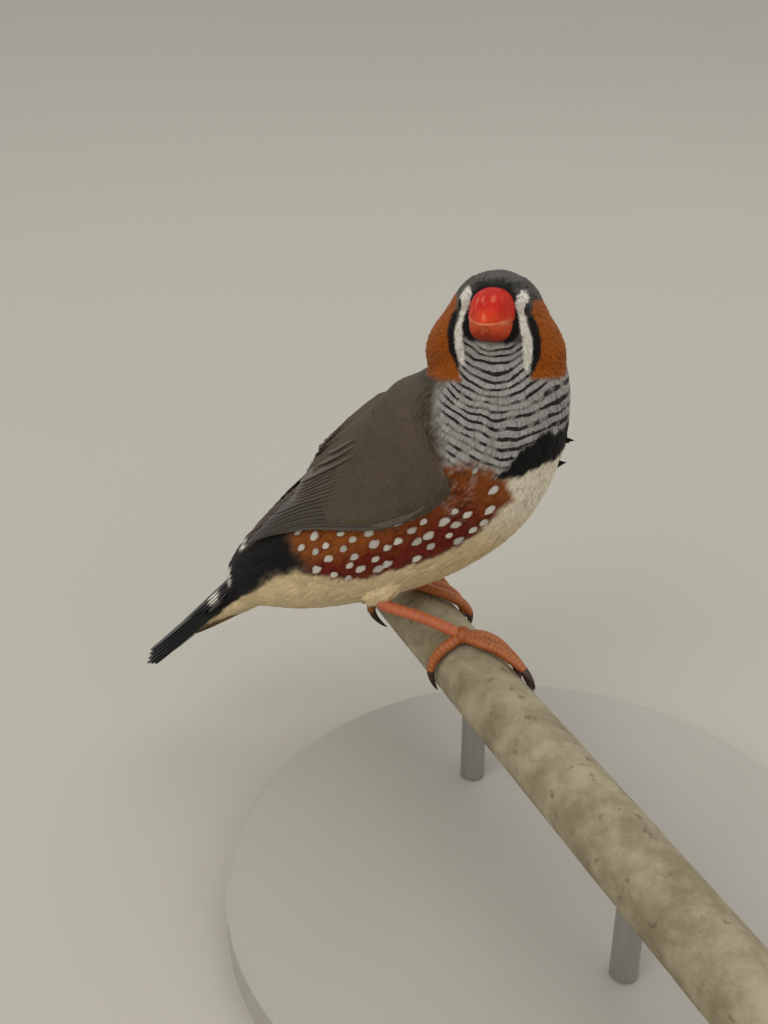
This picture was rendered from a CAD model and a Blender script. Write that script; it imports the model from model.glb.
# A male zebra finch, life size, gripping a short cut length of round perch on a plain display stand.
# Shapes are worked out in millimetres in the bird's own frame, and place() sets them down in metres.
import itertools
import math

import bpy
import numpy as np
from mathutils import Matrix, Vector
from mathutils.bvhtree import BVHTree


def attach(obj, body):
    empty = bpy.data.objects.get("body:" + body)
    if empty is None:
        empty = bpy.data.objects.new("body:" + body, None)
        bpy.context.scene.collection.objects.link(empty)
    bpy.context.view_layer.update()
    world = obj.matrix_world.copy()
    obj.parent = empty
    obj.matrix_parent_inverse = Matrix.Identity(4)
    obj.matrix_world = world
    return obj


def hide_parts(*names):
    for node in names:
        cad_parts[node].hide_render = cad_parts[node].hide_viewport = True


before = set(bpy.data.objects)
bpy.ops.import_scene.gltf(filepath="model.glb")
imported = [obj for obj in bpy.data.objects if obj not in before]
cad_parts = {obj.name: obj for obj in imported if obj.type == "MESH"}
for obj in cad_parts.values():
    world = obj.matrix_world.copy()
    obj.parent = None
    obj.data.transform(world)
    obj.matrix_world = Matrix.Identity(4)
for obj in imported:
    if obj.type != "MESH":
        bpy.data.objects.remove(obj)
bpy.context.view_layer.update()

RIGHT, LEFT = -1, 1
UP = np.array([0.0, 0.0, 1.0])
TO_LEFT = np.array([0.0, 1.0, 0.0])
ORIGIN = np.array([-15.313, 30.433, 32.0])  # of the bird's frame, in the row's frame


def place(points):
    return (np.asarray(points, float) + ORIGIN) / 1000


def unit(v):
    return v / np.maximum(np.linalg.norm(v, axis=-1, keepdims=True), 1e-9)


def smooth(low, high, x):
    t = np.clip((x - low) / (high - low), 0, 1)
    return t * t * (3 - 2 * t)


def mix(a, b, share):
    return a + (b - a) * share


def srgb(r, g, b):
    c = np.array([r, g, b]) / 255
    return np.where(c <= 0.04045, c / 12.92, ((c + 0.055) / 1.055) ** 2.4)


def lattice(i, j, k, seed):
    n = (i * 374761393 + j * 668265263 + k * 2147483647 + seed * 144665) & 0xFFFFFFFF
    n = ((n ^ (n >> 13)) * 1274126177) & 0xFFFFFFFF
    return ((n ^ (n >> 16)) & 0xFFFF) / 65535.0


def noise(points, size, seed=0):
    """Smooth noise from 0 to 1 with lumps about size across."""
    p = points / size + 1000.0
    cell = np.floor(p).astype(np.int64)
    f = p - cell
    f = f * f * (3 - 2 * f)
    total = 0.0
    for a in (0, 1):
        for b in (0, 1):
            for c in (0, 1):
                weight = (
                    (f[..., 0] if a else 1 - f[..., 0])
                    * (f[..., 1] if b else 1 - f[..., 1])
                    * (f[..., 2] if c else 1 - f[..., 2])
                )
                total = total + weight * lattice(cell[..., 0] + a, cell[..., 1] + b, cell[..., 2] + c, seed)
    return total


# Frames of the body, the head and the perch

AXIS_START = np.array([-37.0, 0, 4])
AXIS = np.array([0.724, 0, 0.69])
DORSAL = np.array([-0.69, 0, 0.724])
HEAD_PITCH, HEAD_YAW = math.radians(17), math.radians(3.5)
HEAD_AT = np.array([2.6, -3, 53.6])
EARWARD = np.array([math.cos(HEAD_YAW), -math.sin(HEAD_YAW), 0])
LEVEL = np.array([-math.sin(HEAD_YAW), -math.cos(HEAD_YAW), 0])
FORWARD = LEVEL * math.cos(HEAD_PITCH) + UP * math.sin(HEAD_PITCH)
CROWNWARD = np.cross(FORWARD, EARWARD)
EYE_FORWARD, EYE_OUT, EYE_UP, EYE_RADIUS = 1.55, 3.85, 0.7, 1.6
EYE_FACING = math.radians(52)


def head_point(forward, left, up):
    forward, left, up = (np.asarray(x, float)[..., None] for x in (forward, left, up))
    return HEAD_AT + FORWARD * forward + EARWARD * left + CROWNWARD * up


def head_place(points):
    d = points - HEAD_AT
    return d @ FORWARD, d @ EARWARD, d @ CROWNWARD


def through(rows, at):
    """A smooth curve through rows, at fractional row numbers."""
    at = np.asarray(at, float)
    more = np.vstack([2 * rows[0] - rows[1], rows, 2 * rows[-1] - rows[-2]])
    k = np.clip(np.floor(at).astype(int), 0, len(rows) - 2)
    f = (at - k)[..., None]
    a, b, c, d = more[k], more[k + 1], more[k + 2], more[k + 3]
    return 0.5 * (2 * b + (c - a) * f + (2 * a - 5 * b + 4 * c - d) * f**2 + (3 * b - a - 3 * c + d) * f**3)


class Loft:
    """Rings about a bent line. A row is a station, a centre and the reach back, front, left and right."""

    def __init__(self, rows, to_left):
        self.stations = np.array([r[0] for r in rows], float)
        self.rows = np.array([[*r[1], *r[2]] for r in rows], float)
        self.to_left = to_left

    def row(self, station):
        return np.interp(station, self.stations, np.arange(len(self.stations)))

    def at(self, row, angle, h=0.0):
        row, angle, h = np.broadcast_arrays(np.asarray(row, float), angle, h)
        here = through(self.rows, row)
        ahead = through(self.rows[:, :3], np.minimum(row + 1e-3, len(self.rows) - 1))
        behind = through(self.rows[:, :3], np.maximum(row - 1e-3, 0))
        along = unit(ahead - behind)
        back = unit(np.cross(along, self.to_left))
        left = np.cross(back, along)
        c, s = np.cos(angle), np.sin(angle)
        depth = np.where(c > 0, here[..., 3], here[..., 4]) + h
        width = np.where(s > 0, here[..., 5], here[..., 6]) + h
        return here[..., :3] + back * (c * depth)[..., None] + left * (s * width)[..., None]

    def point(self, station, angle, h=0.0):
        return self.at(self.row(station), angle, h)

    def normal(self, station, angle):
        d = 1e-2
        onward = self.point(station + d, angle) - self.point(station - d, angle)
        round_ = self.point(station, angle + d) - self.point(station, angle - d)
        return unit(np.cross(onward, round_))


def body_row(station, back, belly, half):
    at = AXIS_START + AXIS * station + DORSAL * (back - belly) / 2
    return station, at, ((back + belly) / 2, (back + belly) / 2, half, half)


BODY_SHAPE = [  # station, reach to the back, reach to the belly and half width
    (-3, 4.2, 4.3, 5),
    (3, 6.1, 8.7, 7.6),
    (10, 6.9, 13.2, 9.8),
    (20, 7.2, 18, 11.2),
    (30, 7, 21.2, 11.6),
    (40, 7, 21.8, 12),
]
NECK_SHAPE = [
    (49, (1, 0, 33.5), (13.4, 13.6, 12.4, 12.4)),
    (56, (2.8, 0, 40), (11.6, 12, 11.2, 11.2)),
    (62, (3.1, 0, 46), (9.6, 10.2, 10, 9.6)),
    (67, (3.2, 0, 50.5), (7, 7.4, 7, 7)),
]
BODY = Loft([body_row(*row) for row in BODY_SHAPE] + NECK_SHAPE, TO_LEFT)


def head_row(up, back, front, half):
    return up, head_point((front + back) / 2, 0, up), ((front - back) / 2, (front - back) / 2, half, half)


HEAD_SHAPE = [  # height, rear, front and half width
    (-11.6, -7.6, -1.6, 5.4),
    (-10.4, -9.8, 0.6, 9),
    (-8, -11.2, 2.2, 10.6),
    (-5, -11.7, 3.7, 10.6),
    (-2.4, -11.3, 4.5, 9.3),
    (-0.6, -10.8, 4.7, 8),
    (1.1, -10, 4.5, 7.05),
    (3.2, -8.7, 3.6, 5.8),
    (4.5, -7.2, 2.2, 4.4),
    (5.3, -5.2, 0.3, 2.5),
    (5.6, -3.6, -1.2, 1.1),
]
HEAD = Loft([head_row(*row) for row in HEAD_SHAPE], EARWARD)

BILL_ROWS = [  # forward, culmen height, chin height and half width
    (1.2, 3.4, -4.8, 3.35),
    (3.4, 3.2, -4.45, 3.3),
    (5, 2.9, -4.2, 3.05),
    (7, 1.9, -3.8, 2.5),
    (9, 0.1, -3.1, 1.5),
    (10.3, -1.2, -2.4, 0.7),
    (10.8, -1.7, -2.1, 0.25),
]

PERCH_RADIUS = 5.5
PERCH_YAW = math.radians(-56.84)
PERCH_FAR, PERCH_NEAR = -36, 92
ALONG = np.array([math.cos(PERCH_YAW), math.sin(PERCH_YAW), 0])
BESIDE = np.array([-ALONG[1], ALONG[0], 0])
RIGHT_FOOT = np.array([0.0, -7, 0])


def round_perch(u, angle, reach):
    u, angle, reach = (np.asarray(x, float)[..., None] for x in (u, angle, reach))
    turn = np.radians(angle)
    axis = RIGHT_FOOT + ALONG * u - UP * PERCH_RADIUS
    return axis + BESIDE * reach * np.sin(turn) + UP * reach * np.cos(turn)


# Markings, worked out from where a point lies, so that skin and feathers carry the same

CROWN = srgb(76, 73, 66)
MANTLE = srgb(80, 69, 56)
SILVER = srgb(158, 155, 150)
ASH = srgb(104, 98, 90)
BLACK = srgb(17, 15, 14)
WHITE = srgb(222, 216, 203)
CHEEK = srgb(150, 76, 8)
CREAM = srgb(206, 184, 142)
PALE = srgb(222, 211, 188)
RUST = srgb(134, 72, 26)
CHESTNUT = srgb(100, 27, 12)

BACK_ROWS = np.array([row[:3] for row in BODY_SHAPE] + [(49, 13.4, 13.6)])


def body_place(points):
    """Station along the straight axis, and degrees round from the back, alike on both sides."""
    d = points - AXIS_START
    s = d @ AXIS
    back = np.interp(s, BACK_ROWS[:, 0], BACK_ROWS[:, 1])
    belly = np.interp(s, BACK_ROWS[:, 0], BACK_ROWS[:, 2])
    q = d @ DORSAL - (back - belly) / 2
    return s, np.degrees(np.arctan2(np.abs(points[..., 1]), q))


def inside(polygon, x, y):
    """How far a point lies inside a polygon, negative outside."""
    x, y = np.asarray(x), np.asarray(y)
    near = np.full(x.shape, 1e9)
    within = np.zeros(x.shape, bool)
    for (ax, ay), (bx, by) in zip(polygon, polygon[1:] + polygon[:1]):
        t = np.clip(((x - ax) * (bx - ax) + (y - ay) * (by - ay)) / ((bx - ax) ** 2 + (by - ay) ** 2), 0, 1)
        near = np.minimum(near, np.hypot(x - ax - t * (bx - ax), y - ay - t * (by - ay)))
        if ay != by:
            within ^= ((ay > y) != (by > y)) & (x < (bx - ax) * (y - ay) / (by - ay) + ax)
    return np.where(within, near, -near)


CHEEK_OUTLINE = [
    (1.6, 0.2), (0.2, 1.6), (-2.5, 2.0), (-5.6, 1.0), (-7.6, -1.8), (-8.1, -6), (-6.8, -9),
    (-3, -10.3), (1.5, -10.7), (4.2, -10.4), (4.4, -8.4), (3.4, -6), (3.0, -3), (2.6, -1),
]  # forward and up on the side of the head


def bill_ring(e, u):
    """How far outside the root of the bill a place on the face is."""
    low = u < -0.55
    power = np.where(low, 2 / 0.6, 2 / 0.88)
    size = (np.abs(e / 3.35) ** power + np.abs((u + 0.6) / 3.95) ** power) ** (1 / power)
    return (size - 1) * 3.6


BAR_SPACING, BAR_WIDENING = 0.76, 0.041


def bar_phase(points):
    """Counts the fine dark bars of throat and breast, which sag in front."""
    x, z = points[..., 0], points[..., 2]
    away = 4 * (np.sqrt(1 + ((x - 2.9) / 4) ** 2) - 1)
    sag = np.interp(z, [34, 38, 42, 46, 49, 51], [0.06, 0.16, 0.4, 0.62, 1.0, 1.2]) * np.minimum(away, 5.2)
    lean = smooth(46, 32, z) * 0.5 * np.minimum(x - 5, 0.0)
    height = z + lean - sag + 0.8 * (noise(points, 1.9, 3) - 0.5) + 0.9 * (noise(points, 5, 4) - 0.5)
    spacing = BAR_SPACING + (52 - height) * BAR_WIDENING
    return -np.log(np.maximum(spacing, 0.2)) / BAR_WIDENING


SPOT_APART = 2.85


def flank_sheet(points):
    """The side laid flat: along the body, and down from the back, in millimetres."""
    s, a = body_place(points)
    return s, np.radians(a) * np.interp(s, [10, 20, 30, 45], [10.5, 12.5, 14, 14.5])


def spot_centres():
    """Places of the flank's white spots on the flat side, in staggered rows with some of each place's own."""
    draw = np.random.default_rng(17)
    rows = []
    for row in range(14):
        for column in range(14):
            along = 13 + SPOT_APART * (column + 0.5 * (row % 2)) + draw.uniform(-0.65, 0.65)
            down = 8 + SPOT_APART * 0.86 * row + draw.uniform(-0.6, 0.6)
            rows.append((along, down, draw.uniform(0.68, 1.02), draw.uniform(0.5, 0.76)))
    rows = [row for row in rows if draw.random() > 0.24]
    return np.array(rows)


SPOTS = spot_centres()


def in_flank(points, rough=0.0):
    """From 0 to 1, how surely a place is in the chestnut side."""
    s, a = body_place(points)
    low = belly_edge(s)
    front = np.interp(a, [80, 86, 99, 115, 133, 145], [43, 44.5, 46.5, 48.2, 49.3, 47.5])
    flank = smooth(-3, 3, low - a - 5 * rough) * smooth(1, -1, s - front + 1.5 * rough)
    top = np.interp(s, [12, 20, 30, 44], [48, 50, 66, 76])
    return flank * smooth(-1.5, 1.5, s - 14.2 + rough) * smooth(-6, 2, a - top)


def belly_edge(s):
    stations = [-24, -12, -3, 3, 8, 12, 13, 19, 26, 33, 41, 45, 47.5, 50, 56]
    return np.interp(s, stations, [96, 96, 98, 88, 78, 82, 88, 110, 118, 124, 129, 138, 145, 134, 128])


def tail_bars(points, rough):
    """The white bars on either side of rump and tail."""
    d = points - TAIL_AT
    back, side, over = d @ TAIL_ALONG, np.abs(d @ TAIL_SIDE), d @ TAIL_OUT
    share = 0.0
    for at, out, long in ((-6.1, 4.0, 1.1), (-0.3, 3.6, 1.1), (4.7, 3.0, 1.2)):
        oval = np.hypot((back - at) / long, (side - out) / 1.1)
        share = np.maximum(share, smooth(1.15, 0.75, oval + 0.8 * rough))
    return share * smooth(-0.6, 0.2, over)


def markings(points):
    """Colour of the plumage at each point, and how strongly the fine bars show there."""
    s, a = body_place(points)
    f, e, u = head_place(points)
    x, z = points[..., 0], points[..., 2]
    side = np.abs(e - 0.12 * np.maximum(0, -u - 1))
    rough = noise(points, 0.9, 1) - 0.5
    fine = noise(points, 0.35, 2) - 0.5
    colour = np.broadcast_to(MANTLE, points.shape).copy()

    def paint(new, share):
        colour[:] = mix(colour, new, np.clip(share, 0, 1)[..., None])

    # Neck and breast
    edge = np.interp(s, [40, 44, 46, 50, 55, 60, 68], [98, 84, 70, 46, 34, 28, 26])
    past = a - edge + 10 * rough
    ahead = smooth(38, 43, s + 2 * rough)
    front = smooth(-6, 14, past) * ahead
    paint(ASH, smooth(-16, 0, past) * ahead)
    paint(SILVER, front)
    broken = 0.35 + 0.65 * smooth(0.28, 0.46, noise(points, 1.25, 22))
    barring = front * smooth(-2, 20, past) * broken
    # Belly, flank and rump
    low = belly_edge(s)
    under = smooth(-3, 3, a - low + 5 * rough) * smooth(51, 49, s + (a - 130) * -0.12 + rough)
    band_top = np.interp(x, [4.0, 4.8, 6.4, 8.0, 10.4, 14.6], [30.4, 31.2, 32.6, 34.9, 36.6, 36.2])
    band_low = np.interp(x, [4.0, 4.8, 6.5, 8.2, 10.7, 14.6], [30.4, 30.6, 30.1, 30.5, 31.7, 31.4])
    below = smooth(0.4, -0.4, z - band_low + 0.9 * rough) * smooth(3.5, 6.5, x) * (u < -12)
    belly = np.maximum(under * (s < 52), below)
    barring = barring * (1 - belly)
    paint(CREAM, belly)
    paint(PALE, belly * smooth(16, 30, z + 0.4 * x))
    flank = in_flank(points, rough)
    down = (a - 62) / np.maximum(low - 62, 1)
    tone = np.clip(smooth(0.25, 0.75, down) * smooth(48, 38, s) + 0.7 * rough, 0, 1)
    paint(mix(np.broadcast_to(RUST, points.shape), CHESTNUT, tone[..., None]), flank)
    fleck = noise(points, 0.55, 27)
    mottled = flank * smooth(37, 43, s) * smooth(118, 104, a)
    paint(SILVER, 0.6 * smooth(0.62, 0.7, fleck) * mottled)
    paint(BLACK, 0.55 * smooth(0.4, 0.3, fleck) * mottled)
    barring = barring * (1 - flank)
    edge = np.interp(s, [-24, -12, -3, 2, 5, 8, 14], [96, 96, 98, 86, 74, 73, 80])
    top = np.maximum(smooth(24, 32, a), smooth(5, 2, s + rough))
    rump = smooth(1.2, -1.2, s - 14.2 + 2 * rough) * top * smooth(3, -3, a - edge + 9 * rough)
    paint(BLACK, rump)
    paint(WHITE, tail_bars(points, rough))
    band = smooth(-0.25, 0.25, z - band_low + 0.9 * rough) * smooth(0.25, -0.25, z - band_top + 1.3 * rough)
    band = band * smooth(3.6, 5, x) * (u < -12)
    paint(BLACK, band)
    barring = barring * (1 - band)

    # Head
    headed = (u > -12.2) & (np.abs(e) < 12) & (f > -13)
    nape = smooth(-13, -9, u) * headed
    paint(CROWN, nape * (1 - front * (u < -7)))
    face = smooth(-0.5, 1.2, f) * headed
    throat = face * smooth(-4.0, -4.9, u) * smooth(6.2, 5.4, side)
    paint(SILVER, throat)
    barring = np.where(headed & (u > -8), throat, np.maximum(barring, throat))
    barring = barring * np.where(throat > 0, 0.5 + 0.5 * broken, 1)
    lowered = u - 1.3 * smooth(-5, -9, u) * (e > 0)
    cheek = smooth(-0.5, 0.3, inside(CHEEK_OUTLINE, f, lowered) + 0.5 * rough) * smooth(3.2, 3.8, side)
    inner = np.interp(u, [-11, -10.2, -8.4, -6.5, -3.5, -0.85, 0.5], [4.2, 4.8, 5.4, 6.1, 6.6, 5.7, 5.3])
    cheek *= np.where(f > 0, smooth(-0.2, 0.2, side - inner), 1) * headed
    paint(CHEEK, cheek)
    barring = barring * (1 - cheek)
    fore = smooth(0.5, 1.3, f) * headed
    middle = np.interp(u, [-9.0, -8, -6.2, -3.7, -1.4, -0.4], [5.2, 5.5, 6.1, 6.25, 5.75, 5.4])
    half = np.interp(u, [-9.0, -8, -6.2, -3.7, -1.5, -0.4], [0.1, 0.35, 0.55, 0.6, 0.55, 0.4])
    tear = smooth(0.14, -0.14, np.abs(side - middle) - half + 0.25 * fine) * fore
    tear = tear * smooth(-9.2, -8.6, u) * smooth(0.0, -0.5, u)
    middle = np.interp(u, [-8.2, -5.8, -3.6, -1.3, 0.5, 2.9], [4.6, 5.0, 5.05, 4.35, 3.95, 4.1])
    heights = [-8.4, -7.6, -5.8, -3.6, -1.3, 0.5, 2.2, 3.2]
    half = np.interp(u, heights, [0.05, 0.4, 0.72, 0.7, 0.5, 0.6, 0.8, 0.3])
    lores = smooth(0.16, -0.16, np.abs(side - middle) - half + 0.3 * fine) * fore
    lores = lores * smooth(-8.5, -8.0, u) * smooth(3.5, 2.9, u)
    ring = bill_ring(e, u)
    wedge = np.interp(u, [-5.4, -4.4, -3, -1.6, 0, 2], [0.1, 0.6, 1.0, 0.8, 0.35, 0.3])
    rim = smooth(0.12, -0.12, ring - wedge + 0.2 * fine) * fore * smooth(-5.4, -4.9, u)
    brow = fore * smooth(1.3, 0.2, ring - 0.25 + 1.6 * rough)
    brow = brow * smooth(0.8, 2.0, u) * smooth(3.7, 3.2, np.abs(e))
    paint(BLACK, 0.85 * brow)
    flecked = smooth(0.55, 0.7, noise(points, 0.4, 26)) * smooth(1.2, 2.2, u)
    paint(WHITE, lores * (1 - 0.7 * flecked))
    paint(BLACK, tear)
    paint(BLACK, rim)
    barring = barring * (1 - np.maximum(np.maximum(lores, tear), rim))
    streaks = noise(np.stack([e * 3.2, f * 0.9, u * 0.9], -1), 1.0, 8)
    dark = smooth(0.52, 0.75, streaks) * nape * (1 - cheek) * (1 - lores)
    dark = dark * smooth(-2, 2, u) * smooth(-7, 1, f)
    paint(BLACK, 0.6 * dark)
    chin = face * smooth(1.0, 0.2, ring) * smooth(-4.2, -4.7, u) * smooth(2.6, 1.8, np.abs(e))
    paint(WHITE, 0.35 * chin)
    barring = barring * (1 - 0.7 * chin)
    calm = 1 - 0.6 * belly
    colour *= (1 + calm * (0.22 * rough + 0.12 * fine))[..., None]
    return np.clip(colour, 0, 1), np.clip(barring, 0, 1)


# Materials

def material(name, roughness=0.6, metallic=0.0, specular=0.5, sheen=0.0, coat=0.0, coat_roughness=0.1):
    made = bpy.data.materials.new(name)
    made.use_nodes = True
    tree = made.node_tree
    shader = tree.nodes["Principled BSDF"]
    shader.inputs["Roughness"].default_value = roughness
    shader.inputs["Metallic"].default_value = metallic
    shader.inputs["Specular IOR Level"].default_value = specular
    shader.inputs["Sheen Weight"].default_value = sheen
    shader.inputs["Coat Weight"].default_value = coat
    shader.inputs["Coat Roughness"].default_value = coat_roughness
    return made, tree, shader


def node(tree, kind, settings=(), **inputs):
    made = tree.nodes.new(kind)
    for key, value in dict(settings).items():
        setattr(made, key, value)
    for key, value in inputs.items():
        socket = made.inputs[int(key[1:]) if key[0] == "i" and key[1:].isdigit() else key]
        if hasattr(value, "is_output"):
            tree.links.new(value, socket)
        else:
            socket.default_value = value
    return made


def maths(tree, operation, a, b=0.0, c=0.0):
    return node(tree, "ShaderNodeMath", {"operation": operation}, i0=a, i1=b, i2=c).outputs[0]


def ramp(tree, value, low, high):
    made = node(tree, "ShaderNodeMapRange", {"interpolation_type": "SMOOTHSTEP", "clamp": True})
    tree.links.new(value, made.inputs["Value"])
    made.inputs["From Min"].default_value = low
    made.inputs["From Max"].default_value = high
    return made.outputs["Result"]


def blend_colour(tree, share, a, b, kind="MIX"):
    made = node(tree, "ShaderNodeMix", {"data_type": "RGBA", "blend_type": kind})
    for value, number in ((share, 0), (a, 6), (b, 7)):
        if hasattr(value, "is_output"):
            tree.links.new(value, made.inputs[number])
        elif number == 0:
            made.inputs[0].default_value = value
        else:
            made.inputs[number].default_value = (*value, 1)
    return made.outputs[2]


def lumps(tree, scale, detail=3.0, rough=0.55, stretch=None):
    where = node(tree, "ShaderNodeTexCoord").outputs["Object"]
    if stretch is not None:
        where = node(tree, "ShaderNodeMapping", (), Vector=where, Scale=stretch).outputs[0]
    made = node(tree, "ShaderNodeTexNoise", (), Vector=where, Scale=scale, Detail=detail, Roughness=rough)
    return made.outputs["Fac"]


def bump(tree, shader, height, strength, distance):
    made = node(tree, "ShaderNodeBump", (), Height=height, Strength=strength, Distance=distance)
    tree.links.new(made.outputs[0], shader.inputs["Normal"])


def from_mesh(tree, name, output="Fac"):
    return node(tree, "ShaderNodeAttribute", {"attribute_name": name}).outputs[output]


def times(tree, colour, value):
    """A colour made lighter or darker by a number."""
    grey = node(tree, "ShaderNodeCombineColor", (), i0=value, i1=value, i2=value).outputs[0]
    return blend_colour(tree, 1.0, colour, grey, "MULTIPLY")


def scaled(tree, value, gain, base):
    return maths(tree, "MULTIPLY_ADD", value, gain, base)


def mesh_look(name, grain, tone, relief=None, gloss=None, **surface):
    """Colour from the mesh, uneven by a grain in tone and relief. Gloss has a grain of its own."""
    made, tree, shader = material(name, **surface)
    fine = lumps(tree, *grain)
    colour = times(tree, from_mesh(tree, "Col", "Color"), scaled(tree, fine, *tone))
    tree.links.new(colour, shader.inputs["Base Color"])
    if relief:
        bump(tree, shader, fine, *relief)
    if gloss:
        tree.links.new(scaled(tree, lumps(tree, *gloss[0]), *gloss[1]), shader.inputs["Roughness"])
    return made


def plumage(name, sheen):
    """Takes its colour from the mesh, with fine dark bars where the mesh counts them."""
    made, tree, shader = material(name, roughness=0.72, specular=0.12, sheen=sheen)
    grain = lumps(tree, 2200, 2.0)
    colour = times(tree, from_mesh(tree, "Col", "Color"), scaled(tree, grain, 0.4, 0.8))
    wave = maths(tree, "COSINE", maths(tree, "MULTIPLY", from_mesh(tree, "phase"), 2 * math.pi))
    dark = maths(tree, "MULTIPLY", ramp(tree, wave, 0.22, 0.5), from_mesh(tree, "barring"))
    colour = blend_colour(tree, maths(tree, "MULTIPLY", dark, 0.95), colour, tuple(BLACK))
    tree.links.new(colour, shader.inputs["Base Color"])
    tree.links.new(scaled(tree, grain, 0.2, 0.6), shader.inputs["Roughness"])
    return made


# Mesh helpers

def mesh_object(name, points, faces, look, colours=None, values=None, uv=None, normals=None):
    """A shown piece from points in the bird's frame. faces lists index arrays, of triangles or of quads."""
    mesh = bpy.data.meshes.new(name)
    loops = np.concatenate([f.ravel() for f in faces]).astype(np.int32)
    sizes = np.concatenate([np.full(len(f), f.shape[1]) for f in faces])
    starts = np.concatenate([[0], np.cumsum(sizes)[:-1]]).astype(np.int32)
    mesh.vertices.add(len(points))
    mesh.vertices.foreach_set("co", place(points).astype(np.float32).ravel())
    mesh.loops.add(len(loops))
    mesh.loops.foreach_set("vertex_index", loops)
    mesh.polygons.add(len(starts))
    mesh.polygons.foreach_set("loop_start", starts)
    mesh.polygons.foreach_set("use_smooth", np.ones(len(starts), bool))
    mesh.update(calc_edges=True)
    if colours is not None:
        layer = mesh.color_attributes.new("Col", "FLOAT_COLOR", "POINT")
        with_alpha = np.column_stack([colours, np.ones(len(colours))])
        layer.data.foreach_set("color", with_alpha.astype(np.float32).ravel())
    for key, value in (values or {}).items():
        mesh.attributes.new(key, "FLOAT", "POINT").data.foreach_set("value", value.astype(np.float32))
    if uv is not None:
        mesh.uv_layers.new(name="OFBake").data.foreach_set("uv", uv[loops].astype(np.float32).ravel())
    if normals is not None:
        mesh.normals_split_custom_set_from_vertices(unit(normals).tolist())
    mesh.materials.append(look)
    made = bpy.data.objects.new(name, mesh)
    bpy.context.scene.collection.objects.link(made)
    return made


def barred(points, bars=None):
    """The values that draw the fine bars, none where bars isn't given."""
    if bars is None:
        return {"phase": np.zeros(len(points)), "barring": np.zeros(len(points))}
    return {"phase": bar_phase(points), "barring": bars}


def carried(piece, slot, *nodes):
    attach(piece, "root")
    if nodes:
        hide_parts(*nodes)
    return piece


def ring_faces(rings, sides):
    """Quads between rings of points, and fans to the two points that follow the rings."""
    r, i = np.meshgrid(np.arange(rings - 1), np.arange(sides), indexing="ij")
    a = r * sides + i
    b = r * sides + (i + 1) % sides
    quads = np.stack([a, b, b + sides, a + sides], -1).reshape(-1, 4)
    i = np.arange(sides)
    first, last = rings * sides, rings * sides + 1
    low = np.stack([np.full(sides, first), (i + 1) % sides, i], -1)
    end = (rings - 1) * sides
    high = np.stack([np.full(sides, last), end + i, end + (i + 1) % sides], -1)
    return [quads, np.concatenate([low, high])]


def closed_rings(rings):
    """Points and faces of a closed surface through an array of rings."""
    count, sides = rings.shape[:2]
    points = np.concatenate([rings.reshape(-1, 3), rings[:1].mean(1), rings[-1:].mean(1)])
    return points, ring_faces(count, sides)


def loft_rings(loft, rings, sides, h):
    row = np.linspace(0, len(loft.rows) - 1, rings)[:, None]
    angle = -np.linspace(0, 2 * np.pi, sides, endpoint=False)[None, :]
    return loft.at(row, angle, h)


def globe(rings, sides, gap):
    """Rings of a ball of radius 1, which stop a small angle short of its poles."""
    polar = np.linspace(gap, np.pi - gap, rings)[:, None]
    turn = np.linspace(0, 2 * np.pi, sides, endpoint=False)[None, :]
    out = np.sin(polar)
    return np.stack([out * np.cos(turn), out * np.sin(turn), -np.cos(polar) + 0 * turn], -1)


def merged(parts):
    """One set of points and faces from several."""
    points, faces, base = [], [], 0
    for p, fs in parts:
        points.append(p)
        faces += [f + base for f in fs]
        base += len(p)
    return np.concatenate(points), faces


# Skin: body, neck, head, thighs and root of the tail as one surface, sunk by the depth of the coat

TAIL_AT = (BODY.point(-3, 0.0) + BODY.point(-3, np.pi)) / 2
TAIL_ALONG = unit(np.array([-0.72, -0.17, -0.673]))
TAIL_OUT = unit(np.array([-0.694, 0.207, 0.689]))
TAIL_SIDE = unit(np.cross(TAIL_OUT, TAIL_ALONG))
TAIL_LENGTH = 22.5


def tail_point(back, side, over):
    back, side, over = (np.asarray(x, float)[..., None] for x in (back, side, over))
    return TAIL_AT + TAIL_ALONG * back + TAIL_SIDE * side + TAIL_OUT * over


TAIL_ROOT_SHAPE = [  # back, over, half height and half width
    (-3, -0.8, 3.5, 4.5),
    (1, -1.5, 3.1, 4.3),
    (5, -1.1, 2.0, 3.8),
    (9, -0.6, 1.1, 3),
    (12, -0.1, 0.5, 1.8),
]
TAIL_ROOT = Loft(
    [(at, tail_point(at, 0, over), (high, high, wide, wide)) for at, over, high, wide in TAIL_ROOT_SHAPE],
    TAIL_SIDE,
)

COAT_DEPTH, HEAD_COAT_DEPTH, THIGH_COAT_DEPTH = 0.6, 0.35, 0.9
SKIN_GRID = 0.00042  # in metres
THIGH_LEAN = math.radians(-38)
THIGHS = {
    "right": ((-13.4, -7.2, 7.0), (4.8, 2.8, 2.8)),
    "left": ((-15.2, 6.0, 3.2), (3.8, 2.5, 2.4)),
}


def thigh_lobe(at, size, h):
    polar, turn = np.linspace(0.02, np.pi - 0.02, 20), -np.linspace(0, 2 * np.pi, 28, endpoint=False)
    v, t = np.meshgrid(polar, turn, indexing="ij")
    lobe = np.stack([np.sin(v) * np.cos(t), np.cos(v) * -1, np.sin(v) * np.sin(t)], -1) * (np.array(size) + h)
    c, s = math.cos(THIGH_LEAN), math.sin(THIGH_LEAN)
    x, y, z = lobe[..., 0], lobe[..., 1], lobe[..., 2]
    turned = np.stack([x * c + z * s, y, -x * s + z * c], -1)
    return turned + np.array(at)


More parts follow.
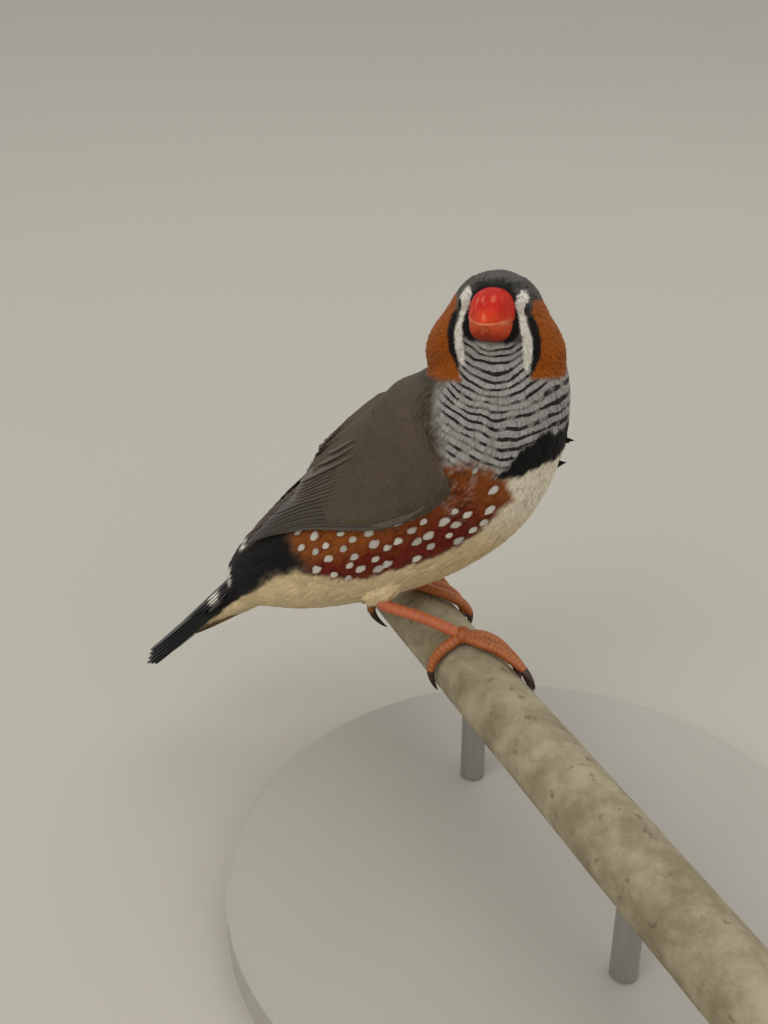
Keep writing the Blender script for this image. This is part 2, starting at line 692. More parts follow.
def make_skin():
    parts = [
        closed_rings(loft_rings(BODY, 90, 96, -COAT_DEPTH)),
        closed_rings(loft_rings(HEAD, 60, 90, -HEAD_COAT_DEPTH)),
        closed_rings(loft_rings(TAIL_ROOT, 24, 48, 0)),
    ]
    parts += [closed_rings(thigh_lobe(at, size, -THIGH_COAT_DEPTH)) for at, size in THIGHS.values()]
    look = plumage("skin_under_feathers", 0.1)
    rough = mesh_object("rough", *merged(parts), look)
    remesh = rough.modifiers.new("one_surface", "REMESH")
    remesh.mode = "VOXEL"
    remesh.voxel_size = SKIN_GRID
    even = rough.modifiers.new("even", "SMOOTH")
    even.factor = 0.6
    even.iterations = 14
    graph = bpy.context.evaluated_depsgraph_get()
    mesh = bpy.data.meshes.new_from_object(rough.evaluated_get(graph))
    mesh.calc_loop_triangles()
    co = np.zeros(len(mesh.vertices) * 3, np.float32)
    mesh.vertices.foreach_get("co", co)
    tri = np.zeros(len(mesh.loop_triangles) * 3, np.int32)
    mesh.loop_triangles.foreach_get("vertices", tri)
    bpy.data.objects.remove(rough)
    bpy.data.meshes.remove(mesh)
    return co.reshape(-1, 3).astype(float) * 1000 - ORIGIN, tri.reshape(-1, 3), look


skin_points, skin_faces, skin_look = make_skin()
tree = BVHTree.FromPolygons([tuple(p) for p in skin_points], [tuple(int(i) for i in t) for t in skin_faces])


def vertex_normals(points, faces):
    flat = np.cross(points[faces[:, 1]] - points[faces[:, 0]], points[faces[:, 2]] - points[faces[:, 0]])
    total = np.zeros_like(points)
    for k in range(3):
        np.add.at(total, faces[:, k], flat)
    return unit(total)


skin_normals = vertex_normals(skin_points, skin_faces)
skin_colour, skin_bars = markings(skin_points)
skin = mesh_object(
    "skin", skin_points, [skin_faces], skin_look,
    skin_colour * 0.8, barred(skin_points, skin_bars),
)
carried(skin, "plumage_body", "torso", "neck", "head", "thigh_right", "thigh_left")


# Where the feathers grow and which way they lie

WING_UPPER = [(44, 42), (36, 23), (28, 13), (20, 7), (10, 5), (2, 6)]  # station and angle from the back
WING_LOWER = [(44, 85), (36, 84), (30, 79), (24, 67), (18, 53), (10, 39), (2, 30)]
WING_ROLL = math.radians(13)


def edge_table(edge):
    line = through(np.array(edge, float), np.linspace(0, len(edge) - 1, 400))
    order = np.argsort(line[:, 0])
    return line[order, 0], line[order, 1]


UPPER_TABLE, LOWER_TABLE = edge_table(WING_UPPER), edge_table(WING_LOWER)


def on_wing(side, station, share, h, roll=0.0):
    low = np.interp(station, *LOWER_TABLE)
    high = np.interp(station, *UPPER_TABLE)
    angle = side * np.radians(low + (high - low) * share)
    at = BODY.point(station, angle, h)
    out = BODY.normal(station, angle)
    c, s = math.cos(side * roll), math.sin(side * roll)
    out = out * c + np.cross(AXIS, out) * s + AXIS * (out @ AXIS)[..., None] * (1 - c)
    return at, out


def flow(points, normals):
    """The way the feathers lie: back from the bill over the head, then down the neck and along the body."""
    _, e, u = head_place(points)
    z = points[..., 2]
    fall = np.interp(u, [-6, -1, 2], [1.1, 0.7, 0.25])
    on_head = -FORWARD - CROWNWARD * fall[..., None]
    on_head = on_head + EARWARD * (np.sign(e) * np.interp(np.abs(e), [0, 3], [0, 0.25]))[..., None]
    on_body = np.broadcast_to(-AXIS, points.shape)
    on_neck = np.array([-0.25, 0, -1.0])
    s = (points - AXIS_START) @ AXIS
    on_body = mix(on_body, TAIL_ALONG, smooth(2, -4, s)[..., None])
    body = mix(on_body, on_neck, smooth(26, 40, z)[..., None])
    way = mix(unit(body), unit(on_head), smooth(-12, -8, u)[..., None])
    way = way - normals * (way * normals).sum(-1, keepdims=True)
    return unit(way)


def nearest(points):
    """The nearest places on the skin and the normals there."""
    at = np.zeros_like(points)
    out = np.zeros_like(points)
    for i, p in enumerate(points):
        co, _, face, _ = tree.find_nearest(Vector(p))
        at[i] = co
        ring = skin_faces[face]
        weight = 1 / (np.linalg.norm(skin_points[ring] - at[i], axis=1) + 1e-3)
        out[i] = weight @ skin_normals[ring]
    return at, unit(out)


SCATTER_CELL = 0.8
NEXT_CELLS = list(itertools.product((-1, 0, 1), repeat=3))


def scatter(spacing, seed):
    """Roots spread over the skin, as far apart as spacing says at each place. With no spacing it is bare."""
    draw = np.random.default_rng(seed)
    corner = skin_points[skin_faces]
    centre = corner.mean(1)
    room = spacing(centre)
    area = np.linalg.norm(np.cross(corner[:, 1] - corner[:, 0], corner[:, 2] - corner[:, 0]), axis=1) / 2
    wanted = np.where(room > 0, area / np.maximum(room, 0.05) ** 2, 0) * 3.2
    count = draw.poisson(wanted)
    face = np.repeat(np.arange(len(count)), count)
    draw.shuffle(face)
    a, b = draw.random(len(face)), draw.random(len(face))
    flip = a + b > 1
    a[flip], b[flip] = 1 - a[flip], 1 - b[flip]
    c = corner[face]
    at = c[:, 0] + (c[:, 1] - c[:, 0]) * a[:, None] + (c[:, 2] - c[:, 0]) * b[:, None]
    reach = room[face]
    grid = {}
    keep = []
    for i, (p, r) in enumerate(zip(at.tolist(), reach.tolist())):
        i0, i1, i2 = (int(x // SCATTER_CELL) for x in p)
        near = (q for a, b, c in NEXT_CELLS for q in grid.get((i0 + a, i1 + b, i2 + c), ()))
        if all((p[0] - q[0]) ** 2 + (p[1] - q[1]) ** 2 + (p[2] - q[2]) ** 2 >= r * r for q in near):
            grid.setdefault((i0, i1, i2), []).append(p)
            keep.append(i)
    keep = np.array(keep)
    normal = skin_normals[skin_faces[face[keep]]].mean(1)
    return at[keep], unit(normal), reach[keep]


def covered_by_wing(points):
    s, a = body_place(points)
    low = np.interp(s, *LOWER_TABLE)
    high = np.interp(s, *UPPER_TABLE)
    return (s > 5) & (s < 42.5) & (a < low - 7) & ((a > high + 3) | (s > 27))


LID_RADIUS = 1.28


def eye_frame(side):
    """An eye's middle, the way it looks, and the way across it."""
    facing = EARWARD * side * math.sin(EYE_FACING) + FORWARD * math.cos(EYE_FACING)
    across = unit(np.cross(CROWNWARD, facing))
    return head_point(EYE_FORWARD, side * EYE_OUT, EYE_UP), facing, across


def off_eye(points, side):
    """Distance from the line that an eye looks along, large behind the eye."""
    eye, facing, _ = eye_frame(side)
    d = points - eye
    off = np.linalg.norm(d - facing * (d @ facing)[..., None], axis=-1)
    return np.where(d @ facing > 0, off, 99)


def spacing(points):
    s, _ = body_place(points)
    f, e, u = head_place(points)
    gap = np.interp(s, [0, 20, 40, 48], [0.85, 0.85, 0.75, 0.62])
    gap = np.where(points[..., 2] > 36, 0.52, gap)
    gap = np.where(u > -9, 0.44, gap)
    gap = np.where((u > -9) & (f > 1), 0.36, gap)
    gap = np.where(covered_by_wing(points), 0, gap)
    gap = np.where((bill_ring(e, u) < -0.15) & (f > 1), 0, gap)
    gap = np.where(s < -12, 0, gap)
    for side in (RIGHT, LEFT):
        gap = np.where(off_eye(points, side) < LID_RADIUS, 0, gap)
    return gap


def unwrap(points):
    """Where a root lies on the skin laid flat: body in the lower part, head above it."""
    s, _ = body_place(points)
    f, e, u = head_place(points)
    d = points - AXIS_START
    round_body, up_body = np.arctan2(points[..., 1], d @ DORSAL + 5), np.clip((s + 6) / 78, 0, 1)
    round_head, up_head = np.arctan2(e, -(f + 3.5)), np.clip((u + 12.5) / 20, 0, 1)
    body = np.stack([(round_body / (2 * np.pi) + 0.5) * 0.96 + 0.02, up_body * 0.5 + 0.01], -1)
    head = np.stack([(round_head / (2 * np.pi) + 0.5) * 0.96 + 0.02, up_head * 0.44 + 0.54], -1)
    return np.where((u > -11)[..., None], head, body)


def bend(roots, normals, length):
    """Three places along each feather, which follow the skin."""
    way = flow(roots, normals)
    mid, mid_out = nearest(roots + way * length[:, None] / 2)
    way_2 = flow(mid, mid_out)
    end, end_out = nearest(mid + way_2 * length[:, None] / 2)
    return np.stack([roots, mid, end], 1), np.stack([normals, mid_out, end_out], 1)


def quadratic(three, t):
    """Through three rows at 0, a half and 1."""
    a, b, c = three[:, 0], three[:, 1], three[:, 2]
    t = t[..., None]
    a, b, c = (x.reshape(x.shape[0], *([1] * (t.ndim - 2)), 3) for x in (a, b, c))
    return a * (2 * t**2 - 3 * t + 1) + b * (4 * t - 4 * t**2) + c * (2 * t**2 - t)


TUFT_STEPS = np.array([0.0, 0.45, 0.78, 1.0])
TUFT_PATCH = 0.0014  # half the size of a tuft's place on the bake map


def on_rings(values):
    """Values at the steps of a barb, given to the three points of each ring and to the tip."""
    return np.concatenate([np.repeat(values[:, :, :3], 3, axis=2), values[:, :, 3:4]], 2)


def tufts(line, out, width, rise, barbs, draw, sink=0.12):
    """Fans of tapering barbs. Returns points, faces, uv, each point's tuft, its place along and normals."""
    n = len(line)
    q = np.linspace(-1, 1, barbs)[None, :] + draw.uniform(-0.12, 0.12, (n, barbs))
    reach = (1 - 0.3 * q**2) * draw.uniform(0.82, 1.08, (n, barbs))
    t = TUFT_STEPS[None, None, :] * reach[:, :, None]
    centre = quadratic(line, t)
    normal = unit(quadratic(out, t))
    ahead = quadratic(line, t + 0.05) - quadratic(line, t - 0.05)
    side = unit(np.cross(normal, ahead))
    spread = q[..., None] * width[:, None, None] / 2 * (0.25 + 0.75 * np.sqrt(np.clip(t, 0, 1)))
    uneven = draw.uniform(0.75, 1.12, (n, barbs))[..., None]
    lift = -sink + (rise[:, None, None] + sink) * np.clip(t, 0, 1.1) ** 0.8 * uneven
    lift = lift - spread**2 * 0.05
    centre = centre + side * spread[..., None] + normal * lift[..., None]
    half = (width[:, None] / barbs * 0.8 * draw.uniform(0.8, 1.2, (n, barbs)))[..., None]
    half = half * np.array([0.75, 1.0, 0.8])
    body = centre[:, :, :3]
    left = body - side[:, :, :3] * half[..., None]
    right = body + side[:, :, :3] * half[..., None]
    ridge = body + normal[:, :, :3] * (half * 0.45)[..., None]
    rings = np.stack([left, right, ridge], 3).reshape(n, barbs, 9, 3)
    points = np.concatenate([rings, centre[:, :, 3:4]], 2)
    per = 10
    base = (np.arange(n * barbs) * per)[:, None, None]
    quads = []
    for r in (0, 3):
        for i in range(3):
            j = (i + 1) % 3
            quads.append([r + i, r + j, r + 3 + j, r + 3 + i])
    tris = [[6 + i, 6 + (i + 1) % 3, 9] for i in range(3)] + [[0, 2, 1]]
    quads = (np.array(quads)[None] + base).reshape(-1, 4)
    tris = (np.array(tris)[None] + base).reshape(-1, 3)
    patch = unwrap(line[:, 0])
    across = np.clip(q[..., None] * np.ones(4), -1.2, 1.2)
    local = np.stack([across, np.clip(t, 0, 1.1) * 2 - 1], -1) * TUFT_PATCH
    uv = patch[:, None, None, :] + on_rings(local)
    owner = np.repeat(np.arange(n), barbs * per)
    tilt = q[..., None] * 0.35 + draw.uniform(-0.15, 0.15, (n, barbs))[..., None]
    soft = on_rings(unit(normal + side * tilt[..., None] + unit(ahead) * 0.15))
    along = on_rings(t)
    points, uv, soft = points.reshape(-1, 3), uv.reshape(-1, 2), soft.reshape(-1, 3)
    return points, [quads, tris], uv, owner, along.reshape(-1), soft


ROOMS = [0.36, 0.44, 0.52, 0.62, 0.85]  # spacings that the sizes below go with
roots, root_normals, root_room = scatter(spacing, 5)
draw = np.random.default_rng(21)
length = np.interp(root_room, ROOMS, [1.15, 1.6, 1.9, 2.4, 3.6]) * draw.uniform(0.85, 1.15, len(roots))
line, line_out = bend(roots, root_normals, length)
for side in (RIGHT, LEFT):
    along = quadratic(line, np.tile(np.linspace(0.2, 1.1, 6), (len(roots), 1)))
    over_eye = (off_eye(along, side) < LID_RADIUS - 0.1).any(1)
    length = np.where(over_eye, length * 0.35, length)
line, line_out = bend(roots, root_normals, length)
kept = np.ones(len(roots), bool)
for side in (RIGHT, LEFT):
    kept &= off_eye(line[:, 2], side) > LID_RADIUS - 0.18
roots, root_room, line, line_out = (x[kept] for x in (roots, root_room, line, line_out))
rs, ra = body_place(roots)
rf, _, ru = head_place(roots)
width = np.interp(root_room, ROOMS, [0.55, 0.72, 0.9, 1.15, 1.7])
rise = np.interp(root_room, ROOMS, [0.24, 0.3, 0.36, 0.42, 0.52])
on_belly = smooth(-6, 4, ra - belly_edge(rs)) * smooth(34, 31, roots[:, 2])
rise = rise * (1 - 0.5 * on_belly)
width = width * (1 + 0.25 * on_belly)

REGIONS = {
    "coat_face": (ru > -9) & (rf > 0),
    "coat_crown": (ru > -9) & (rf <= 0),
    "coat_neck": (ru <= -9) & (roots[:, 2] > 36),
    "coat_breast": (ru <= -9) & (roots[:, 2] <= 36) & (rs > 38),
    "coat_belly": (roots[:, 2] <= 36) & (rs <= 38) & (ra > 105),
    "coat_side": (roots[:, 2] <= 36) & (rs <= 38) & (ra <= 105),
}
coat_look = plumage("plumage_small_feathers", 0.05)
BARBS = 6
PIECE_LIMIT = 190000
for name, chosen in REGIONS.items():
    chosen = np.where(chosen)[0]
    limit = PIECE_LIMIT // (BARBS * 16)
    for part in range(-(-len(chosen) // limit)):
        some = chosen[part * limit : (part + 1) * limit]
        points, faces, uv, owner, along, soft = tufts(
            line[some], line_out[some], width[some], rise[some], BARBS, np.random.default_rng(31 + part)
        )
        colours, bars = markings(points)
        tint = np.random.default_rng(41 + part).uniform(0.92, 1.08, len(some))[owner]
        shade = mix(0.84, 0.95, on_belly[some])[owner]
        colours = colours * (tint * mix(shade, 1.04, np.clip(along, 0, 1)))[:, None]
        piece = mesh_object(
            name if part == 0 else f"{name}_{part + 1}", points, faces, coat_look, colours,
            barred(points, bars), uv, soft,
        )
        carried(piece, "plumage_head" if name in ("coat_face", "coat_crown", "coat_neck") else "plumage_body")


# Two stray dark tufts that stand off the left edge of the breast

STRAYS = [  # root, length and rise
    ((14.8, -1.5, 33.2), 2.3, -0.1),
    ((14.8, -1.6, 33.0), 1.7, -0.3),
    ((13.9, -2.2, 29.4), 2.1, 0.05),
    ((13.8, -2.0, 28.9), 1.9, 0.3),
]


def stray_tufts():
    draw = np.random.default_rng(91)
    parts, uvs = [], []
    for root, reach, rise in STRAYS:
        start, _ = nearest(np.array([root]))
        t = np.linspace(0, 1, 10)
        centre = start + unit(np.array([0.98, 0.12, rise])) * (reach * t - 0.7)[:, None]
        out = np.tile(unit(np.array([0.1, -1, 0.3])), (10, 1))
        points, faces, _, marks = vane(centre, out, 0.62 * (1.02 - t) ** 0.8, 0.12, 0.1, draw)
        parts.append((points, faces))
        uvs.append(unwrap(start) + np.stack([marks["edge"], marks["share"] * 2 - 1], -1) * TUFT_PATCH)
    points, faces = merged(parts)
    black = np.tile(BLACK, (len(points), 1))
    piece = mesh_object("coat_stray", points, faces, coat_look, black, barred(points), np.concatenate(uvs))
    carried(piece, "plumage_body")


# Wings: fine vanes in tiers over the torso, and small soft feathers on the shoulder

def outward(points, faces):
    """The faces turned so that a closed surface faces outward."""
    volume = 0.0
    for f in faces:
        for k in range(1, f.shape[1] - 1):
            a, b, c = points[f[:, 0]], points[f[:, k]], points[f[:, k + 1]]
            volume += (a * np.cross(b, c)).sum()
    return faces if volume > 0 else [f[:, ::-1] for f in faces]


ACROSS = np.concatenate([np.linspace(-1, 1, 9), np.linspace(1, -1, 9)[1:-1]])
OVER = np.concatenate([np.ones(9), np.zeros(7)])


def vane(centre, out, half, thickness, camber, draw, cell=0, cells=1, ridge=0.14):
    """A feather's blade about its quill. Returns points, faces, uv and each point's place on it."""
    steps = len(centre)
    along = unit(np.gradient(centre, axis=0))
    side = unit(np.cross(along, out))
    t = np.linspace(0, 1, steps)[:, None]
    frayed = 1 + draw.uniform(-0.05, 0.05, (steps, 1)) * smooth(0.4, 1, t)
    x = ACROSS[None, :] * half[:, None] * np.where(np.abs(ACROSS) == 1, frayed, 1)
    quill = ridge * np.exp(-((ACROSS / 0.12) ** 2)) * (1 - 0.7 * t)
    high = camber * (1 - ACROSS**2) + quill * OVER + (OVER - 0.5) * thickness * (1 - np.abs(ACROSS) ** 3)
    rings = centre[:, None] + side[:, None] * x[..., None] + out[:, None] * high[..., None]
    points, faces = closed_rings(rings)
    span = np.concatenate([[0], np.cumsum(np.linalg.norm(np.diff(centre, axis=0), axis=1))])
    column, row = cell % cells, cell // cells
    u = (column + 0.06 + 0.88 * (np.broadcast_to(ACROSS, x.shape) + 1) / 2) / cells
    v = (row + 0.04 + 0.92 * np.broadcast_to(t, x.shape)) / cells
    uv = np.stack([u, v], -1).reshape(-1, 2)
    uv = np.concatenate([uv, uv[:1], uv[-1:]])
    spot = lambda values: np.concatenate([values.ravel(), values[0, :1], values[-1, :1]])
    return points, outward(points, faces), uv, {
        "across": spot(x),
        "edge": spot(np.broadcast_to(ACROSS, x.shape)),
        "along": spot(np.broadcast_to(span[:, None], x.shape)),
        "share": spot(np.broadcast_to(t, x.shape)),
    }


def spot_feathers(side, seed):
    """Small chestnut feathers that end in a white oval with a dark rim."""
    draw = np.random.default_rng(seed)
    name = "right" if side == RIGHT else "left"
    stations, turns = np.linspace(12, 50, 190), np.radians(np.linspace(45, 150, 320))
    station, turn = np.meshgrid(stations, turns, indexing="ij")
    sheet = BODY.point(station, side * turn, 0.0)
    flat = np.stack(flank_sheet(sheet), -1)
    parts, colours, uvs, softs = [], [], [], []
    for along, down, size, white_tone in SPOTS:
        gap = np.hypot(flat[..., 0] - along, flat[..., 1] - down)
        best = np.unravel_index(gap.argmin(), gap.shape)
        at = sheet[best]
        if gap[best] > 0.3 or in_flank(at[None])[0] < 0.85 or covered_by_wing(at[None])[0]:
            continue
        if at[2] > 30:
            size, white_tone = size * 0.6, white_tone * 0.75
        at, out = nearest(at[None])
        way = flow(at, out)
        steps = 14
        t = np.linspace(0, 1, steps)
        reach = 2.75 * size
        middle, outs = nearest(at + way * (reach * (t - 0.5))[:, None])
        centre = middle + outs * (0.36 + 0.12 * np.sin(np.pi * t * 0.8))[:, None]
        half = 0.72 * size * np.sqrt(np.clip(1 - (2 * t - 1) ** 2, 0.02, 1))
        points, faces, _, marks = vane(centre, outs, half, 0.06, 0.05, draw)
        across, share = marks["edge"], marks["share"]
        inner = np.hypot(across / 0.86, (share - 0.56) / 0.36)
        inner = inner + 0.6 * (noise(points, 0.55, 33) - 0.5)
        white = smooth(1.15, 0.8, inner)
        ground, _ = markings(points)
        colour = mix(ground * 0.75, WHITE * white_tone, white[:, None])
        parts.append((points, faces))
        colours.append(np.clip(colour, 0, 1))
        uvs.append(unwrap(at) + np.stack([across, share * 2 - 1], -1) * TUFT_PATCH)
        softs.append(np.concatenate([np.repeat(outs, 16, axis=0), outs[:1], outs[-1:]]))
    points, faces = merged(parts)
    colours, uvs, softs = (np.concatenate(x) for x in (colours, uvs, softs))
    piece = mesh_object(f"coat_spots_{name}", points, faces, coat_look, colours, barred(points), uvs, softs)
    carried(piece, "plumage_body")


def vane_piece(name, look, vanes):
    """One piece from vanes, each with its points, faces, uv, marks and colours."""
    points, faces = merged([each[:2] for each in vanes])
    uvs, marks, colours = zip(*(each[2:] for each in vanes))
    values = {key: np.concatenate([each[key] for each in marks]) for key in ("across", "along")}
    return mesh_object(name, points, faces, look, np.concatenate(colours), values, np.concatenate(uvs))


def blade(width, full, roundness, steps):
    t = np.linspace(0, 1, steps)
    rising = mix(0.5, 1, np.sin(np.minimum(t / full, 1) * np.pi / 2))
    past = np.clip((t - full) / (1 - full), 0, 1)
    return width / 2 * rising * np.maximum(0.07, (1 - past**2) ** roundness)


for side, seed in ((RIGHT, 61), (LEFT, 62)):
    spot_feathers(side, seed)
stray_tufts()


BARB_SPACING = 0.34


def vane_plumage(name, sheen, gloss):
    """Colour from the mesh, with barbs slanting out from the quill."""
    made, tree, shader = material(name, roughness=gloss, specular=0.35, sheen=sheen)
    out = maths(tree, "ABSOLUTE", from_mesh(tree, "across"))
    slant = scaled(tree, out, 1.1, maths(tree, "MULTIPLY", from_mesh(tree, "along"), -1.0))
    wobble = scaled(tree, lumps(tree, 500, 2.0), 0.5, slant)
    barbs = maths(tree, "SINE", maths(tree, "MULTIPLY", wobble, 2 * math.pi / BARB_SPACING))
    grain = lumps(tree, 900, 3.0)
    value = maths(tree, "ADD", maths(tree, "MULTIPLY", barbs, 0.07), scaled(tree, grain, 0.4, 0.8))
    tree.links.new(times(tree, from_mesh(tree, "Col", "Color"), value), shader.inputs["Base Color"])
    bump(tree, shader, barbs, 0.35, 0.00005)
    tree.links.new(scaled(tree, grain, 0.25, gloss - 0.12), shader.inputs["Roughness"])
    return made


def flight_height(share):
    return 1.2 + 1.2 * share


def hug(station):
    """The wing lies closer to the body towards its tip."""
    return mix(0.22, 1, smooth(5, 36, station))


def primary_tip(f):
    return 2.8 + 11 * np.maximum(0, f - 0.22) ** 1.2 + 3 * np.maximum(0, 0.22 - f) / 0.22


TIERS = {  # feathers, shares, roots, tips, widths, where full, roundness, extra height, steps
    "primary": (9, (0.06, 0.5), (38, 36), primary_tip, (3.4, 4), 0.5, 0.6, 0, 30),
    "secondary": (7, (0.5, 0.76), (36, 35), lambda f: mix(15, 17.5, f), (4.2, 4.6), 0.7, 0.5, 0, 24),
    "tertial": (3, (0.8, 0.96), (35, 36), lambda f: mix(18, 25, f), (5, 4.8), 0.6, 0.55, 0.2, 22),
    "greater": (12, (0.08, 0.93), (38, 39), lambda f: mix(27.5, 26, f), (3.4, 3.8), 0.6, 0.5, 0.14, 16),
}
PRIMARY = srgb(62, 53, 44)
EDGE_PALE = srgb(128, 115, 98)


def wing_colour(tier, number, marks, points):
    x, t = marks["edge"], marks["share"]
    tone = np.broadcast_to(PRIMARY if tier == "primary" else MANTLE, points.shape)
    dark = 1 - 0.06 * np.exp(-((x / 0.5) ** 2)) * (1 if tier != "greater" else 0.4)
    colour = tone * dark[:, None]
    pale = smooth(0.8, 1.0, np.abs(x)) * (0.6 if tier == "primary" and number < 1 else 0.22)
    colour = mix(colour, EDGE_PALE, pale[:, None])
    if tier == "primary":
        black = smooth(0.72, 0.98, t) * (0.9 if number < 6 else 0.5)
        colour = mix(colour, srgb(36, 31, 27), black[:, None])
    return np.clip(colour * (0.88 + 0.24 * noise(points, 2.5, 9))[:, None], 0, 1)


def wing(side, seed):
    draw = np.random.default_rng(seed)
    vanes = []
    for tier, (count, shares, from_, tip, widths, full, roundness, over, steps) in TIERS.items():
        for k in range(count):
            f = k / (count - 1)
            share = mix(*shares, f) + draw.uniform(-0.006, 0.006)
            root = mix(*from_, f)
            t = np.linspace(0, 1, steps)
            end = float(tip(f)) + draw.uniform(-0.25, 0.25)
            station = mix(root, end, t)
            h = (flight_height(share) + over) * hug(station)
            centre, out = on_wing(side, station, np.full(steps, share), h, WING_ROLL)
            half = blade(mix(*widths, f), full, roundness, steps)
            points, faces, uv, marks = vane(centre, out, half, 0.07, 0.04, draw, len(vanes), 8, 0.05)
            vanes.append((points, faces, uv, marks, wing_colour(tier, k, marks, points)))
    name = "right" if side == RIGHT else "left"
    carried(vane_piece(f"wing_feathers_{name}", wing_look, vanes), "plumage_wing", f"wing_{name}")


PAD_FROM, PAD_TO = 57, 23
PAD_LOWER = [(23, 69), (28, 80), (36, 88), (42, 88), (44, 81), (46, 68), (48, 55), (51.5, 38), (57, 24)]


def pad_point(side, station, share, sunk=None):
    """The surface of mantle and shoulder. Share runs from the wing's lower edge to the middle of the back."""
    low = np.interp(station, *zip(*PAD_LOWER))  # in degrees from the back
    high = np.interp(station, *UPPER_TABLE)
    angle = low * (1 - share)
    on_wing_share = np.clip((low - angle) / np.maximum(low - high, 1), 0, 1)
    over_quills = np.interp(station, [23, 28, 38, 42, 47], [0.3, 0.5, 0.55, 0.15, -0.3])
    middle = np.interp(station, [23, 26, 30, 36, 50], [-0.3, 0.5, 1.7, 2.0, 1.95])
    over_wing = flight_height(on_wing_share) * hug(station) + over_quills
    full = mix(middle, over_wing, smooth(0, 1, angle / np.maximum(high, 1)))
    front = np.sin(np.pi / 2 * np.clip((PAD_FROM - station) / 11, 0, 1)) ** 1.2
    edge = np.sin(np.pi / 2 * np.clip(share / 0.14, 0, 1)) ** 0.6
    height = mix(-0.5, full, front * edge)
    if sunk is not None:
        height = np.full_like(height, sunk)
    return BODY.point(station, side * np.radians(angle), height)


def mantle_colour(points):
    """Brown, which passes into the markings of neck and breast at its front."""
    colour, bars = markings(points)
    s, _ = body_place(points)
    share = smooth(42.5, 44.5, s)
    return mix(np.broadcast_to(MANTLE, points.shape), colour, share[:, None]), bars * share


def pad_place(side, station, share):
    d = 0.05
    at = pad_point(side, station, share)
    a = pad_point(side, station + d, share) - pad_point(side, station - d, share)
    b = pad_point(side, station, share + d / 10) - pad_point(side, station, share - d / 10)
    out = unit(np.cross(a, b))
    away = at - (AXIS_START + AXIS * station[..., None])
    return at, out * np.sign((out * away).sum(-1, keepdims=True))


def shoulder(side, seed):
    name = "right" if side == RIGHT else "left"
    draw = np.random.default_rng(seed)
    # A smooth bed that the small feathers grow from
    station, share = np.meshgrid(np.linspace(PAD_FROM, PAD_TO, 40), np.linspace(0, 1, 36), indexing="ij")
    top = pad_point(side, station, share)
    under = pad_point(side, station, share, -1.0)
    rings = np.concatenate([top, under[:, ::-1]], 1)
    points, faces = closed_rings(rings)
    colours, bars = mantle_colour(points)
    bed = mesh_object(f"shoulder_bed_{name}", points, outward(points, faces), skin_look, colours * 0.8,
                      barred(points, bars))
    carried(bed, "plumage_wing")
    rows, per_row = 54, 34
    r, c = np.meshgrid(np.arange(rows), np.arange(per_row), indexing="ij")
    station = PAD_FROM - 0.1 - r * (PAD_FROM - PAD_TO - 0.6) / rows
    station = (station + draw.uniform(-0.2, 0.2, r.shape)).ravel()
    share = ((c + 0.5 * (r % 2)) / (per_row - 0.5) + draw.uniform(-0.012, 0.012, r.shape)).ravel()
    length = draw.uniform(2.1, 2.9, len(station))
    length = length * np.interp(station, [24, 40], [1.35, 1.0])
    width = np.interp(station, [24, 40], [2.3, 1.6])
    lines, outs = [], []
    for t in (0, 0.5, 1):
        at, out = pad_place(side, np.maximum(station - t * length, PAD_TO - 1.5), share)
        lines.append(at)
        outs.append(out)
    line, out = np.stack(lines, 1), np.stack(outs, 1)
    rise = np.full(len(station), 0.22)
    points, faces, uv, owner, along, soft = tufts(line, out, width, rise, BARBS, draw, 0.08)
    tint = draw.uniform(0.95, 1.05, len(station))[owner]
    colours, bars = mantle_colour(points)
    tint = tint * (0.86 + 0.18 * np.clip(along, 0, 1)) * (0.92 + 0.16 * noise(points, 3, 6))
    colours = colours * tint[:, None]
    piece = mesh_object(f"shoulder_feathers_{name}", points, faces, coat_look, colours,
                        barred(points, bars), uv, soft)
    carried(piece, "plumage_wing")


wing_look = vane_plumage("wing_feathers", 0.15, 0.62)
for side, seed in ((RIGHT, 51), (LEFT, 52)):
    wing(side, seed)
    shoulder(side, seed + 10)


# Tail

def rectrix_length(pair):
    return TAIL_LENGTH - 1.4 + min(pair, 3) * 0.45 - max(0, pair - 3) * 0.8


TAIL_TIERS = {  # pairs, root, width, apart, over, drop, where full, roundness, lift of the tip, length
    "rectrix": (6, 1, 5, (1.1, 0.5), 1.2, 0.46, 0.6, 0.4, 0.0, rectrix_length),
    "uppertail": (4, 1, 4.4, (0.9, 0.8), 1.7, 0.42, 0.5, 0.45, -0.4, lambda p: 12.5 - p * 2),
    "undertail": (4, 1, 4, (0.4, 0.6), -4.3, -0.22, 0.5, 0.45, 3.0, lambda p: 13 - p * 2),
}


